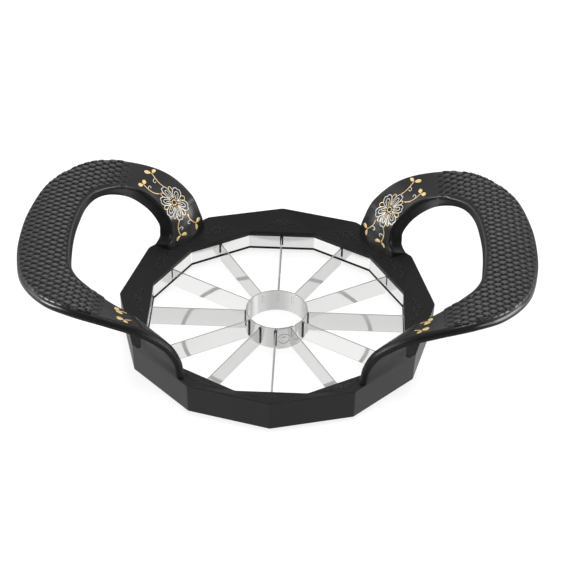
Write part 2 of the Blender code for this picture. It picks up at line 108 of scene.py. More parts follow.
# Handles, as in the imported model
GRIP_REACH = FRAME_CORNER_RADIUS + 35.4 * MM
GRIP_WIDTH = 17.4 * MM
GRIP_RISE = 29.4 * MM
LOOP_SPREAD = 51.4 * MM
HOLE_SPREAD = 37.1 * MM
LEG_WIDTH = 18.6 * MM
LEG_OFFSET = 0.5 * MM
HALF_THICKNESS = 1.8 * MM
FLUSH_INSET = 0.02 * MM
GRIP_CROWN = 0.5 * MM
FOOT_CROWN = 1.8 * MM
FOOT_CROWN_START = 0.5
FOOT_CROWN_POWER = 6
FOOT_DEPTH = 4.0 * MM
STEP_SHARE = 1 / 26
OUTER_SHARES = (
    (1.000, 0.000, 0.945), (0.985, 0.285, 0.945), (0.920, 0.600, 0.962),
    (0.780, 0.824, 0.980), (0.608, 0.940, 0.975), (0.385, 0.985, 0.880),
    (0.213, 0.983, 0.735), (0.078, 0.950, 0.480), (0.018, 0.925, 0.200),
)
HOLE_SHARES = (
    (1.000, 0.000, 0.953), (0.985, 0.272, 0.950), (0.936, 0.569, 0.942),
    (0.823, 0.782, 0.940), (0.646, 0.916, 0.900), (0.408, 0.997, 0.789),
    (0.171, 1.000, 0.588), (0.021, 0.982, 0.340), (0.000, 0.976, 0.150),
)

# Handles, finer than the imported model: the outer edge's round is a reach and a
# rise, the slope lies beside the hole, and each span is a start and an end
OUTER_ROUND = 1.5 * MM, 2.3 * MM
LOW_ROUND = 0.5 * MM
OUTER_DRAFT = 0.45 * MM
FOOT_FLARE = 2.4 * MM
FOOT_FLARE_HEIGHT = 5.5 * MM
FOOT_FLARE_POWER = 2.2
GRIP_SLOPE = 0.4 * MM
LEG_SLOPE = 2.8 * MM
LEG_SPAN = 0.42, 0.72
FINE_SHARE = 0.66
BUMP_ORIGIN_X = 59 * MM
BUMP_SPAN_X = 62.5 * MM, 65.5 * MM
HOLE_MARGIN = 1.2 * MM, 2.4 * MM
OUTER_MARGIN = -1.0 * MM, -0.4 * MM


# Settings shown in the panel

def length(name, description, millimetres):
    return FloatProperty(name=name, description=description, default=millimetres * MM,
                         min=0, precision=5, unit="LENGTH", subtype="DISTANCE")


def colour(name, description, *default):
    return FloatVectorProperty(name=name, description=description, default=default,
                               size=3, min=0, max=1, subtype="COLOR")


class SLICER_PG_moulding(bpy.types.PropertyGroup):
    edge_round: length("Edge round", "Rounding of the frame's edges", 0.45)
    handle_round: length("Hole edge round", "Rounding of the edge round a handle's hole", 0.8)
    bump_pitch: length("Bump pitch", "Distance between neighbouring grip bumps", 3.05)
    bump_height: length("Bump height", "How far the grip bumps stand up", 0.62)
    relief_width: length("Relief width", "Width of the lines moulded on the rim", 0.55)
    relief_height: length("Relief height", "How far the rim's lines stand up", 0.18)


class SLICER_PG_steel(bpy.types.PropertyGroup):
    thickness: length("Sheet thickness", "Thickness of blades, band and core ring", 0.5)
    slit: length("Slit width", "Width of the band's slits", 1.3)
    grind: length("Grind height", "Height of the ground cutting edge", 1.2)
    weld_radius: length("Weld radius", "Radius of the spot weld on the core ring", 2.3)


class SLICER_PG_foil(bpy.types.PropertyGroup):
    line_width: length("Line width", "Width of the foil lines", 0.34)
    line_height: length("Line height", "Thickness of the foil lines", 0.07)


class SLICER_PG_colours(bpy.types.PropertyGroup):
    plastic: colour("Plastic", "Colour of frame and handles", 0.0070, 0.0070, 0.0072)
    steel: colour("Steel", "Colour of blades, band and core ring", 0.86, 0.86, 0.85)
    silver: colour("Silver foil", "Colour of the blossoms' lines", 0.68, 0.68, 0.65)
    gold: colour("Gold foil", "Colour of the blossoms' leaves", 0.88, 0.63, 0.29)
    floor: colour("Floor", "Colour of the floor under the object", 0.80, 0.80, 0.80)


# Small tools

def mode(name):
    bpy.ops.object.mode_set(mode=name)


def clean_slate():
    """Object mode with nothing selected."""
    if bpy.context.mode != "OBJECT":
        mode("OBJECT")
    bpy.ops.object.select_all(action="DESELECT")


def pick(*pieces):
    """Selects pieces and makes the first one active."""
    clean_slate()
    for piece in pieces:
        piece.select_set(True)
    bpy.context.view_layer.objects.active = pieces[0]


def named(piece, name):
    piece.name = name
    piece.data.name = name
    return piece


def new_piece(name):
    """Names the object that was just added and puts its place into its mesh."""
    bpy.ops.object.transform_apply(location=True, rotation=True, scale=True)
    return named(bpy.context.object, name)


def select(piece, kind, test):
    """Selects the edges or faces whose corners pass a test, in edit mode."""
    mode("EDIT")
    bpy.ops.mesh.select_mode(type=kind)
    bpy.ops.mesh.select_all(action="DESELECT")
    mode("OBJECT")
    mesh = piece.data
    for part in mesh.edges if kind == "EDGE" else mesh.polygons:
        part.select = bool(test([mesh.vertices[i].co for i in part.vertices]))
    mode("EDIT")


def seal():
    """Merges what lies on the same place and turns the normals outward, in edit mode."""
    bpy.ops.mesh.select_all(action="SELECT")
    bpy.ops.mesh.remove_doubles(threshold=0.001 * MM)
    bpy.ops.mesh.normals_make_consistent(inside=False)


def apply_modifier(piece, kind, **settings):
    pick(piece)
    modifier = piece.modifiers.new(kind.title(), kind)
    for key, value in settings.items():
        setattr(modifier, key, value)
    bpy.ops.object.modifier_apply(modifier=modifier.name)


def round_edges(piece, width, segments, degrees=60):
    """Rounds the edges that are sharper than an angle."""
    apply_modifier(piece, "BEVEL", width=width, segments=segments, limit_method="ANGLE",
                   angle_limit=math.radians(degrees))


def smooth(piece, degrees=35, weighted=False):
    """Shades smoothly up to an angle.

    Where it is weighted, large flat faces keep their own shade beside rounded
    edges."""
    pick(piece)
    bpy.ops.object.shade_smooth_by_angle(angle=math.radians(degrees))
    if weighted:
        apply_modifier(piece, "WEIGHTED_NORMAL", keep_sharp=True, weight=100)


def laid_grid(name, points, closed=False, polish=None):
    """A grid whose vertices are laid on an array of points, rows by columns.

    A closed one is a tube: its rows end where they start, and a point closes
    each end. Polish, where given, is kept as an attribute of the vertices."""
    if closed:
        head, tail = (np.broadcast_to(row[:-1].mean(axis=0), points[:1].shape)
                      for row in (points[0], points[-1]))
        points = np.concatenate([head, points, tail])
    rows, columns = points.shape[:2]
    clean_slate()
    bpy.ops.mesh.primitive_grid_add(
        x_subdivisions=columns - 1, y_subdivisions=rows - 1, size=1, location=(0, 0, 0))
    piece = new_piece(name)
    mesh = piece.data
    mesh.vertices.foreach_set("co", points.reshape(-1).astype(np.float32))
    mesh.update()
    if polish is not None:
        polish = np.pad(polish, ((1, 1), (0, 0)))
        attribute = mesh.attributes.new("polish", "FLOAT", "POINT")
        attribute.data.foreach_set("value", polish.reshape(-1).astype(np.float32))
    if closed:
        mode("EDIT")
        seal()
        mode("OBJECT")
    return piece


def copy_of(piece, name, matrix):
    """A copy with its own mesh, moved by a matrix."""
    mesh = piece.data.copy()
    mesh.transform(matrix)
    mesh.name = name
    if matrix.determinant() < 0:
        mesh.flip_normals()
    twin = bpy.data.objects.new(name, mesh)
    bpy.context.scene.collection.objects.link(twin)
    return twin


def join(pieces, name):
    pick(*pieces)
    bpy.ops.object.join()
    return named(bpy.context.object, name)


def to_side(index):
    """The turn from the first side to another."""
    return Matrix.Rotation(index * SECTOR, 4, "Z")


def all_round(first, name):
    """Joins a piece on the first side with its copies on the others."""
    copies = [copy_of(first, f"{name}_{i}", to_side(i)) for i in range(1, SIDES)]
    return join([first, *copies], name)


def unit(vectors):
    return vectors / np.linalg.norm(vectors, axis=-1, keepdims=True)


def round_points(turn):
    """Points on a circle of radius 1."""
    return np.stack([np.cos(turn), np.sin(turn)], axis=-1)


def smoothstep(value, low, high):
    t = np.clip((value - low) / (high - low), 0, 1)
    return t * t * (3 - 2 * t)


MATERIALS = {}


def settle(piece, finish, nodes=()):
    """Material, body, finish slot and the CAD nodes that a piece stands for."""
    piece.data.materials.clear()
    piece.data.materials.append(MATERIALS[finish])
    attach(piece, BODY)
    if nodes:
        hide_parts(*nodes)


def second_finish(piece, finish, test):
    """Another material on the faces whose normal passes a test."""
    piece.data.materials.append(MATERIALS[finish])
    for face in piece.data.polygons:
        if test(face.normal):
            face.material_index = 1


# Nodes

def fill(tree, made, inputs):
    """Sets a node's inputs to values, or links outputs to them."""
    for key, value in inputs.items():
        if isinstance(value, bpy.types.NodeSocket):
            tree.links.new(value, made.inputs[key])
        else:
            made.inputs[key].default_value = value


def node(tree, kind, inputs=None, **settings):
    made = tree.nodes.new(kind)
    for key, value in settings.items():
        setattr(made, key, value)
    fill(tree, made, inputs or {})
    return made


def calculated(tree, operation, *values):
    return node(tree, "ShaderNodeMath", dict(enumerate(values)), operation=operation).outputs[0]


def mapped(tree, source, start, end, low, high, curve="LINEAR"):
    """Maps a value from start to end onto low to high."""
    return node(tree, "ShaderNodeMapRange",
                {"Value": source, "From Min": start, "From Max": end, "To Min": low,
                 "To Max": high}, interpolation_type=curve).outputs["Result"]


def noise(tree, place, scale, detail, roughness=0.5):
    return node(tree, "ShaderNodeTexNoise",
                {"Vector": place, "Scale": scale, "Detail": detail,
                 "Roughness": roughness}).outputs["Fac"]


def texture_group(name, **inputs):
    """A node group for a height and a mask, its inputs and the place on the object."""
    group = bpy.data.node_groups.new(name, "ShaderNodeTree")
    for label, default in inputs.items():
        group.interface.new_socket(
            label, in_out="INPUT", socket_type="NodeSocketFloat").default_value = default
    for label in ("Height", "Mask"):
        group.interface.new_socket(label, in_out="OUTPUT", socket_type="NodeSocketFloat")
    place = node(group, "ShaderNodeTexCoord").outputs["Object"]
    return group, node(group, "NodeGroupInput").outputs, place


def grain_group():
    """Fine moulded grain, and a mask of slow cloudy change."""
    group, given, place = texture_group("Moulded grain", Size=2500.0, Clouds=60.0)
    node(group, "NodeGroupOutput", {
        "Height": noise(group, place, given["Size"], 2.0, 0.6),
        "Mask": noise(group, place, given["Clouds"], 3.0, 0.55)})
    return group


def rolled_group():
    """Faint rolling lines along a sheet, and a mask of smears left by handling."""
    group, given, place = texture_group("Rolled lines", Across=9000.0)
    stretch = node(group, "ShaderNodeCombineXYZ", {0: 120.0, 1: 120.0, 2: given["Across"]})
    scaled = node(group, "ShaderNodeVectorMath", {0: place, 1: stretch.outputs[0]},
                  operation="MULTIPLY")
    node(group, "NodeGroupOutput", {
        "Height": noise(group, scaled.outputs[0], 1.0, 3.0),
        "Mask": noise(group, place, 90.0, 2.0)})
    return group


# Materials

def scaled_colour(value, factor):
    return tuple(min(part * factor, 1) for part in value)


def new_material(name):
    material = bpy.data.materials.new(name)
    material.use_nodes = True
    return material, material.node_tree, material.node_tree.nodes["Principled BSDF"]


def textured(name, group, scales, base, shades, rough, span, bump, rough_by="Mask"):
    """A material that takes its colour, roughness and bumps from a texture group.

    The colour runs between two shades of the base along the mask, and the
    roughness between two values while the mask or the height passes through
    the span. Bump is a strength and a distance."""
    material, tree, shader = new_material(name)
    texture = node(tree, "ShaderNodeGroup", scales, node_tree=group).outputs
    dark, pale = ((*scaled_colour(base, shade), 1) for shade in shades)
    tint = node(tree, "ShaderNodeMix", {"Factor": texture["Mask"], "A": dark, "B": pale},
                data_type="RGBA")
    grain = node(tree, "ShaderNodeBump",
                 {"Strength": bump[0], "Distance": bump[1], "Height": texture["Height"]})
    fill(tree, shader, {
        "Base Color": tint.outputs["Result"], "Normal": grain.outputs["Normal"],
        "Roughness": mapped(tree, texture[rough_by], *span, *rough)})
    return material, tree, shader


# Plastics: name, share of the colour, roughness, depth and fineness of the
# grain, specular level, and weight of the gloss where hands have polished it
PLASTICS = {
    "frame": ("Satin black moulding", 1, (0.32, 0.40), 0.50, 2000.0, 0.34, 0),
    "rim": ("Matt black rim", 1, (0.50, 0.60), 0.80, 1300.0, 0.19, 0),
    "handle": ("Worn black handle", 1, (0.34, 0.42), 0.14, 2600.0, 0.22, 0.7),
    "ring": ("Matt black ring", 1.3, (0.46, 0.54), 0.30, 1800.0, 0.30, 0),
}
# Steels: name, share of the colour, roughness, and depth and fineness of the
# rolling lines
STEELS = {
    "blade": ("Blade steel", 1, (0.09, 0.14), 0.10, 9000.0),
    "edge": ("Sheared edge steel", 0.38, (0.34, 0.44), 0.30, 4000.0),
    "band": ("Band steel", 1.12, (0.12, 0.18), 0.14, 9000.0),
    "core": ("Core ring steel", 0.80, (0.10, 0.16), 0.16, 9000.0),
    "screw": ("Screw steel", 0.70, (0.28, 0.38), 0.20, 4000.0),
    # The last is painted shade: a nearly black steel for the beads set where the gaps at the
    # blade joints lie in shadow
    "seam": ("Dark seam", 0.10, (0.35, 0.45), 0.20, 4000.0),
}
FOILS = {"silver": ("Silver foil", (0.26, 0.44)), "gold": ("Gold foil", (0.22, 0.40))}


class SLICER_OT_materials(bpy.types.Operator):
    """Makes the plastic, steel and foil materials"""

    bl_idname = "slicer.materials"
    bl_label = "Materials"

    def execute(self, context):
        colours = context.scene.slicer_colours
        grain = grain_group()
        rolled = rolled_group()
        for key, (name, share, rough, depth, size, specular, worn) in PLASTICS.items():
            MATERIALS[key], tree, shader = textured(
                name, grain, {"Size": size, "Clouds": 70.0},
                scaled_colour(colours.plastic, share), (0.8, 1.25), rough, (0.3, 0.7),
                (depth, 0.08 * MM))
            fill(tree, shader, {"Specular IOR Level": specular})
            if worn:
                polish = node(tree, "ShaderNodeAttribute", attribute_name="polish")
                gloss = calculated(tree, "MULTIPLY", polish.outputs["Fac"], worn)
                fill(tree, shader, {"Coat Weight": gloss, "Coat Roughness": 0.14})
        for key, (name, share, rough, depth, across) in STEELS.items():
            MATERIALS[key], tree, shader = textured(
                name, rolled, {"Across": across}, scaled_colour(colours.steel, share),
                (0.94, 1.04), rough, (0.35, 0.65), (depth, 0.01 * MM))
            fill(tree, shader, {"Metallic": 1})
        for key, (name, rough) in FOILS.items():
            MATERIALS[key], tree, shader = textured(
                name, grain, {"Size": 1500.0, "Clouds": 900.0}, getattr(colours, key),
                (0.75, 1.15), rough, (0, 1), (0.4, 0.03 * MM), "Height")
            fill(tree, shader, {"Metallic": 0.55})
        return {"FINISHED"}


# Frame

def extruded_ring(name, outlines, turned):
    """A twelve-sided strip through outlines, each an apothem and a height.

    A turned one has its corners half a side further round. Where the last
    outline is the first again, the strip closes to a solid ring."""
    apothem, z = outlines[0]
    clean_slate()
    bpy.ops.mesh.primitive_circle_add(
        vertices=SIDES, radius=apothem / math.cos(HALF_SECTOR), location=(0, 0, z),
        rotation=(0, 0, HALF_SECTOR if turned else 0))
    ring = new_piece(name)
    mode("EDIT")
    bpy.ops.mesh.select_mode(type="EDGE")
    bpy.ops.mesh.select_all(action="SELECT")
    for next_apothem, next_z in outlines[1:]:
        bpy.ops.mesh.extrude_edges_move(TRANSFORM_OT_translate={"value": (0, 0, next_z - z)})
        factor = next_apothem / apothem
        bpy.ops.transform.resize(value=(factor, factor, 1), center_override=(0, 0, next_z))
        apothem, z = next_apothem, next_z
    if outlines[0] == outlines[-1]:
        seal()
    mode("OBJECT")
    return ring


def bridge_outlines(piece, *outlines):
    """Joins two outlines that are half a side apart with flat three-cornered facets."""
    def on_either(ends):
        return any(all(abs(end.z - z) < NEAR and abs(end.xy.length - radius) < NEAR
                       for end in ends) for radius, z in outlines)

    select(piece, "EDGE", on_either)
    bpy.ops.mesh.bridge_edge_loops()
    bpy.ops.mesh.quads_convert_to_tris(quad_method="SHORTEST_DIAGONAL")


def roof_z(apothem):
    """Height of the rim's top over a side's middle, at a distance from the axis."""
    share = (FRAME_APOTHEM - apothem) / (FRAME_APOTHEM - OPENING_CORNER_RADIUS)
    return RIM_TOP_Z - share * (RIM_TOP_Z - RIM_INNER_Z)


def shows(ends):
    """Whether an edge of the frame is seen, so that it needs its round."""
    radii = [end.xy.length for end in ends]
    heights = [end.z for end in ends]
    on_wall = min(radii) > FRAME_APOTHEM
    on_rim = min(heights) > SKIRT_BOTTOM_Z - 0.05 * MM
    in_socket = (max(radii) < OPENING_CORNER_RADIUS + 3 * MM
                 and max(heights) < RIM_INNER_Z - 0.05 * MM)
    return (on_wall or on_rim) and not in_socket


class SLICER_OT_frame(bpy.types.Operator):
    """Models the twelve-sided frame from its outlines and rounds its edges"""

    bl_idname = "slicer.frame"
    bl_label = "Frame"

    def execute(self, context):
        inner_face = FRAME_APOTHEM - WALL_THICKNESS
        inner_top = roof_z(inner_face) - ROOF_THICKNESS
        socket_top = roof_z(SOCKET_OUTER) - ROOF_THICKNESS
        wall = extruded_ring("wall", (
            (inner_face, inner_top), (inner_face - WALL_DRAFT, BASE_Z),
            (FRAME_APOTHEM - WALL_DRAFT, BASE_Z), (FRAME_APOTHEM, RIM_TOP_Z)), False)
        mouth = extruded_ring("mouth", (
            (OPENING_APOTHEM, RIM_INNER_Z), (OPENING_APOTHEM, SKIRT_BOTTOM_Z),
            (SKIRT_OUTER, SKIRT_BOTTOM_Z), (SKIRT_OUTER, LIP_BOTTOM_Z),
            (SOCKET_INNER, LIP_BOTTOM_Z), (SOCKET_INNER, SOCKET_BOTTOM_Z),
            (SOCKET_OUTER, SOCKET_BOTTOM_Z), (SOCKET_OUTER, socket_top)), True)
        piece = join([wall, mouth], "frame_shell")
        corner = 1 / math.cos(HALF_SECTOR)
        bridge_outlines(piece, (FRAME_CORNER_RADIUS, RIM_TOP_Z),
                        (OPENING_CORNER_RADIUS, RIM_INNER_Z))
        bridge_outlines(piece, (inner_face * corner, inner_top),
                        (SOCKET_OUTER * corner, socket_top))
        seal()
        select(piece, "EDGE", shows)
        bpy.ops.mesh.bevel(offset=context.scene.slicer_moulding.edge_round,
                           offset_type="OFFSET", segments=4, profile=0.5, affect="EDGES",
                           clamp_overlap=True)
        mode("OBJECT")
        smooth(piece, 25, weighted=True)
        settle(piece, "frame", ["housing"])
        second_finish(piece, "rim", lambda normal: normal.z > 0.4)
        return {"FINISHED"}


def strip_piece(name, points, normals, width, height, sunk):
    """A low rounded strip along a line of points, closed below and at its ends."""
    across = unit(np.cross(normals, np.gradient(points, axis=0)))
    width = np.broadcast_to(np.asarray(width, dtype=float), (len(points),))[:, None]
    shape = ((-0.5, -sunk), (-0.46, height * 0.45), (-0.28, height * 0.9), (0, height),
             (0.28, height * 0.9), (0.46, height * 0.45), (0.5, -sunk), (-0.5, -sunk))
    rows = np.stack([points + across * width * share + normals * rise
                     for share, rise in shape], axis=1)
    return laid_grid(name, rows, closed=True)


def line_art(name, lines, surface, width, height, sunk):
    """Strips along lines, joined.

    The lines are points and a share of the width, and the surface turns points
    into places and normals."""
    strips = [strip_piece(f"{name}_{number}", *surface(line), width * share, height, sunk)
              for number, (line, share) in enumerate(lines)]
    return join(strips, name)


def relief_lines():
    """A small moulded blossom on a facet: line points and width shares.

    The first number of each point runs out from the opening and the second
    along it, in millimetres."""
    centre = np.array([5.4, 0.0])
    turns = np.linspace(0, NEARLY_ROUND, 31)
    lobed = 1.9 + 0.55 * np.cos(5 * turns)
    lines = [(centre + round_points(turns) * lobed[:, None] * (0.72, 1), 1.0),
             (centre + round_points(turns) * 0.55, 0.8)]
    sweep = np.linspace(0, 1, 14)
    leaf = np.linspace(0, NEARLY_ROUND, 15)
    for hand in (-1, 1):
        out = 4.6 - 1.6 * sweep ** 1.5 + 0.9 * np.sin(sweep * math.pi)
        lines.append((np.stack([out, hand * (2.9 + 4.6 * sweep)], axis=1), 1.0 - 0.6 * sweep))
        around = np.stack([0.55 * np.sin(leaf) + 0.35 * np.cos(leaf),
                           hand * 1.15 * np.cos(leaf)], axis=1)
        lines.append((around + (3.4, hand * 6.2), 0.7))
    return lines


class SLICER_OT_reliefs(bpy.types.Operator):
    """Lays a low moulded blossom on each facet of the rim"""

    bl_idname = "slicer.reliefs"
    bl_label = "Rim reliefs"

    def execute(self, context):
        sizes = context.scene.slicer_moulding
        base = np.array([OPENING_APOTHEM, 0, RIM_INNER_Z])
        outward = unit(np.array([FRAME_CORNER_RADIUS, 0, RIM_TOP_Z]) - base)
        sideways = np.array([0, 1, 0])

        def facet(line):
            places = base + (line[:, :1] * outward + line[:, 1:] * sideways) * MM
            return places, np.cross(outward, sideways)

        relief = line_art("relief", relief_lines(), facet, sizes.relief_width,
                          sizes.relief_height, 0.1 * MM)
        piece = all_round(relief, "rim_reliefs")
        smooth(piece, 60)
        settle(piece, "frame")
        return {"FINISHED"}


# Handles

def guide_line(shares, reach, spread, side):
    """Dense points from the grip's middle into the rim, with their length shares."""
    out = np.array([1, 1, 0]) / math.sqrt(2)
    along = np.array([-1, 1, 0]) / math.sqrt(2)
    foot = out * (FRAME_APOTHEM - HALF_THICKNESS - FLUSH_INSET) + along * side
    points = np.array(shares) * (reach - foot[0], spread, GRIP_RISE) + (foot[0], 0, RIM_TOP_Z)
    points = np.vstack([points, [foot[0], foot[1], RIM_TOP_Z]])
    ends = np.vstack([points[1] * (1, -1, 1), points, 2 * points[-1] - points[-2]])
    # A smooth curve through the points, in runs between neighbours
    t = np.linspace(0, 1, 60, endpoint=False)[:, None]
    runs = [(2 * q + (r - p) * t + (2 * p - 5 * q + 4 * r - s) * t ** 2
             + (3 * q - p - 3 * r + s) * t ** 3) / 2
            for p, q, r, s in zip(ends, ends[1:], ends[2:], ends[3:])]
    dense = np.vstack([*runs, points[-1:]])
    steps = np.linalg.norm(np.diff(dense, axis=0), axis=1)
    share = np.concatenate([[0], np.cumsum(steps)])
    share /= share[-1]
    sunk = foot - out * WALL_DRAFT * FOOT_DEPTH / WALL_HEIGHT
    dense = np.vstack([dense, [sunk[0], sunk[1], RIM_TOP_Z - FOOT_DEPTH]])
    return dense, np.append(share, 1 + STEP_SHARE)


OUTER_LINE = guide_line(OUTER_SHARES, GRIP_REACH, LOOP_SPREAD, LEG_OFFSET + LEG_WIDTH / 2)
HOLE_LINE = guide_line(HOLE_SHARES, GRIP_REACH - GRIP_WIDTH, HOLE_SPREAD,
                       LEG_OFFSET - LEG_WIDTH / 2)


def on_line(line, share):
    """Points on a guide line; shares below zero are on the mirrored half."""
    dense, shares = line
    share = np.asarray(share, dtype=float)
    points = np.stack([np.interp(np.abs(share), shares, dense[:, k]) for k in range(3)],
                      axis=-1)
    points[..., 1] *= np.where(share < 0, -1, 1)
    return points


def handle_frame(share):
    """Outer and hole guide points, side and up directions at shares of the half loop."""
    outer, hole = on_line(OUTER_LINE, share), on_line(HOLE_LINE, share)
    ahead = np.minimum(share + STEP_SHARE, 1 + STEP_SHARE)
    behind = share - STEP_SHARE
    travel = (on_line(OUTER_LINE, behind) + on_line(HOLE_LINE, behind)
              - on_line(OUTER_LINE, ahead) - on_line(HOLE_LINE, ahead))
    side = unit(outer - hole)
    return outer, hole, side, unit(np.cross(travel, side))


def crowns(share):
    """How far the top and bottom faces swell at shares of the half loop."""
    share = np.minimum(share, 1)
    foot = np.maximum(share - FOOT_CROWN_START, 0) / (1 - FOOT_CROWN_START)
    top = GRIP_CROWN * (1 - share) + FOOT_CROWN * foot ** FOOT_CROWN_POWER
    return top, GRIP_CROWN * (1 - share) ** 2


def top_surface(share, across):
    """Points and up directions on a handle's top face."""
    outer, hole, _, up = handle_frame(share)
    swell = crowns(share)[0] * 4 * across * (1 - across)
    point = hole + (outer - hole) * across[..., None]
    return point + up * (HALF_THICKNESS + swell)[..., None], up


def section_columns(hole_round):
    """Columns round a handle's section: its top face, outer edge, underside and hole edge.

    Each gives its place across, its reach past the guide line, its rise above
    the middle, its share of crown, its normal's reach and rise, and its share
    of the slope beside the hole. The outer edge is one large round over a wall
    that leans in below."""
    low, high = HALF_THICKNESS - LOW_ROUND, HALF_THICKNESS - hole_round
    columns = [(v, 0, HALF_THICKNESS, 4 * v * (1 - v), 0, 1, 1 - v)
               for v in np.linspace(0, 1, 61)]

    def quarter_round(v, centre, size, turns, slope=0):
        """Turns are from straight up or down; sizes have signs."""
        for turn in turns:
            out, up = math.sin(turn), math.cos(turn)
            columns.append((v, centre[0] + out * size[0], centre[1] + up * size[1], 0,
                            *unit(np.array([out / size[0], up / size[1]])), slope))

    centre = HALF_THICKNESS - OUTER_ROUND[0], HALF_THICKNESS - OUTER_ROUND[1]
    quarter_round(1, centre, OUTER_ROUND, np.linspace(0, QUARTER, 15)[1:])
    lean = OUTER_DRAFT / (centre[1] + low)
    columns += [(1, HALF_THICKNESS - lean * (centre[1] - rise), rise, 0, 1, -lean, 0)
                for rise in np.linspace(centre[1], -low, 5)[1:-1]]
    quarter_round(1, (low - OUTER_DRAFT, -low), (LOW_ROUND, -LOW_ROUND),
                  np.linspace(QUARTER, 0, 5))
    columns += [(v, -OUTER_DRAFT * v, -HALF_THICKNESS, 4 * v * (1 - v), 0, -1, 0)
                for v in np.linspace(1, 0, 15)]
    quarter_round(0, (-low, -low), (-LOW_ROUND, -LOW_ROUND), np.linspace(0, QUARTER, 5))
    columns += [(0, -HALF_THICKNESS, rise, 0, -1, 0, (rise + low) / (high + low))
                for rise in np.linspace(-low, high, 5)[1:-1]]
    quarter_round(0, (-high, high), (-hole_round, hole_round), np.linspace(QUARTER, 0, 7), 1)
    columns += [(0, -high / 3 * k, HALF_THICKNESS, 0, 0, 1, 1) for k in (2, 1)]
    return np.array([*columns, columns[0]])


def bump_heights(points, from_hole, from_outer, pitch):
    """Share of a bump's height at points, from a lattice of domes seen from above.

    Rows of domes run along Y, neighbours are staggered by half a pitch, and
    the two halves of the grip mirror each other."""
    x, y = points[..., 0], np.abs(points[..., 1])
    row_step = pitch * math.sqrt(3) / 2
    first = np.floor((x - BUMP_ORIGIN_X) / row_step)
    heights = np.zeros_like(x)
    for row in (first, first + 1):
        stagger = np.where(row % 2 == 0, 0.0, 0.5)
        centre_x = BUMP_ORIGIN_X + row * row_step
        centre_y = (np.round(y / pitch - stagger) + stagger) * pitch
        dx, dy = (x - centre_x) / (0.62 * pitch), (y - centre_y) / (0.45 * pitch)
        inner = np.clip(1 - dx ** 2 - dy ** 2, 0, 1)
        dome = 0.8 * smoothstep(inner, 0, 0.6) + 0.2 * inner
        heights = np.maximum(heights, dome * smoothstep(centre_x, *BUMP_SPAN_X))
    return heights * smoothstep(from_hole, *HOLE_MARGIN) * smoothstep(from_outer, *OUTER_MARGIN)


def handle_rows(sizes):
    """Half a handle: points in rows along the loop by columns round it, and their polish."""
    share = np.concatenate([np.linspace(0, FINE_SHARE, 320, endpoint=False),
                            np.linspace(FINE_SHARE, 1, 70), [1 + STEP_SHARE]])
    outer, hole, side, up = handle_frame(share)
    side[0], up[0] = unit(side[0] * (1, 0, 1)), unit(up[0] * (1, 0, 1))
    crown_top, crown_low = (crown[:, None] for crown in crowns(share))
    share = share[:, None]
    (v, reach, rise, swell, normal_reach, normal_rise,
     slope) = section_columns(sizes.handle_round).T

    above = np.maximum(outer[:, 2:] - RIM_TOP_Z, 0)
    flare = FOOT_FLARE * np.clip(1 - above / FOOT_FLARE_HEIGHT, 0, 1) ** FOOT_FLARE_POWER
    reach = reach - flare * smoothstep(-reach, 0, HALF_THICKNESS)
    width = np.linalg.norm(outer - hole, axis=1)[:, None]
    v = v + slope * (GRIP_SLOPE + LEG_SLOPE * smoothstep(share, *LEG_SPAN)) / width
    swell = np.where((rise > 0) | (slope > 0), crown_top * 4 * v * (1 - v), -crown_low * swell)
    points = (hole[:, None] + (outer - hole)[:, None] * v[..., None]
              + side[:, None] * reach[..., None] + up[:, None] * (rise + swell)[..., None])
    normals = unit(side[:, None] * normal_reach[:, None] + up[:, None] * normal_rise[:, None])
    heights = bump_heights(points, v * width + HALF_THICKNESS + reach,
                           (1 - v) * width - reach, sizes.bump_pitch)
    heights *= smoothstep(normal_rise, -0.05, 0.6)
    points += normals * (heights * sizes.bump_height)[..., None]
    points[0, :, 1] = 0

    rounded = (np.minimum(abs(normal_reach), abs(normal_rise)) > 0.05) & (rise > 0)
    fades_at = np.where(normal_reach < 0, 0.80, 0.58)
    edges = rounded * (1 - smoothstep(share, fades_at - 0.06, fades_at + 0.06))
    leg_top = 0.6 * smoothstep(share, 0.52, 0.64) * (normal_rise > 0.9)
    return points, np.maximum.reduce([smoothstep(heights, 0.4, 0.8), edges, leg_top])


class SLICER_OT_handles(bpy.types.Operator):
    """Lays the loop handles between their guide lines, with the grip's bumps"""

    bl_idname = "slicer.handles"
    bl_label = "Handles"

    def execute(self, context):
        rows, polish = handle_rows(context.scene.slicer_moulding)
        right = laid_grid("handle_right", np.concatenate([rows[:0:-1] * (1, -1, 1), rows]),
                          closed=True, polish=np.concatenate([polish[:0:-1], polish]))
        smooth(right, 50)
        left = copy_of(right, "handle_left", to_side(6))
        for piece in (right, left):
            settle(piece, "handle", ["housing"])
        return {"FINISHED"}


# Foil blossoms

# Shares along and across a leg of the art's middle, and of a millimetre from it
ART_MIDDLE = 0.835, 0.50
ART_MILLIMETRE = -0.0092, 0.053
PETALS = 6

# Size of the blossom, how far it sits below its leaves in millimetres, the
# share of the upper tendrils that is stamped, and how full their leaves are
LEG_ART = {
    "rear": {"size": 1, "lowered": 0, "stem": 1, "leaf_width": 1},
    "front": {"size": 0.8, "lowered": 5.5, "stem": 0.35, "leaf_width": 1.6},
}
# Start, bend and end of each tendril
TENDRILS = (
    ((8.4, 2.6), (11.5, 2.2), (15.0, 6.6)), ((8.4, -2.6), (12.0, -6.0), (17.5, -2.8)),
    ((-8.2, 3.4), (-11.0, 3.0), (-14.0, 6.2)), ((-8.4, -2.2), (-11.0, -4.8), (-15.6, -3.4)),
)


def leg_top(line):
    """Places and normals on a leg's top face from millimetres along and across it."""
    return top_surface(*(ART_MIDDLE + line * ART_MILLIMETRE).T)


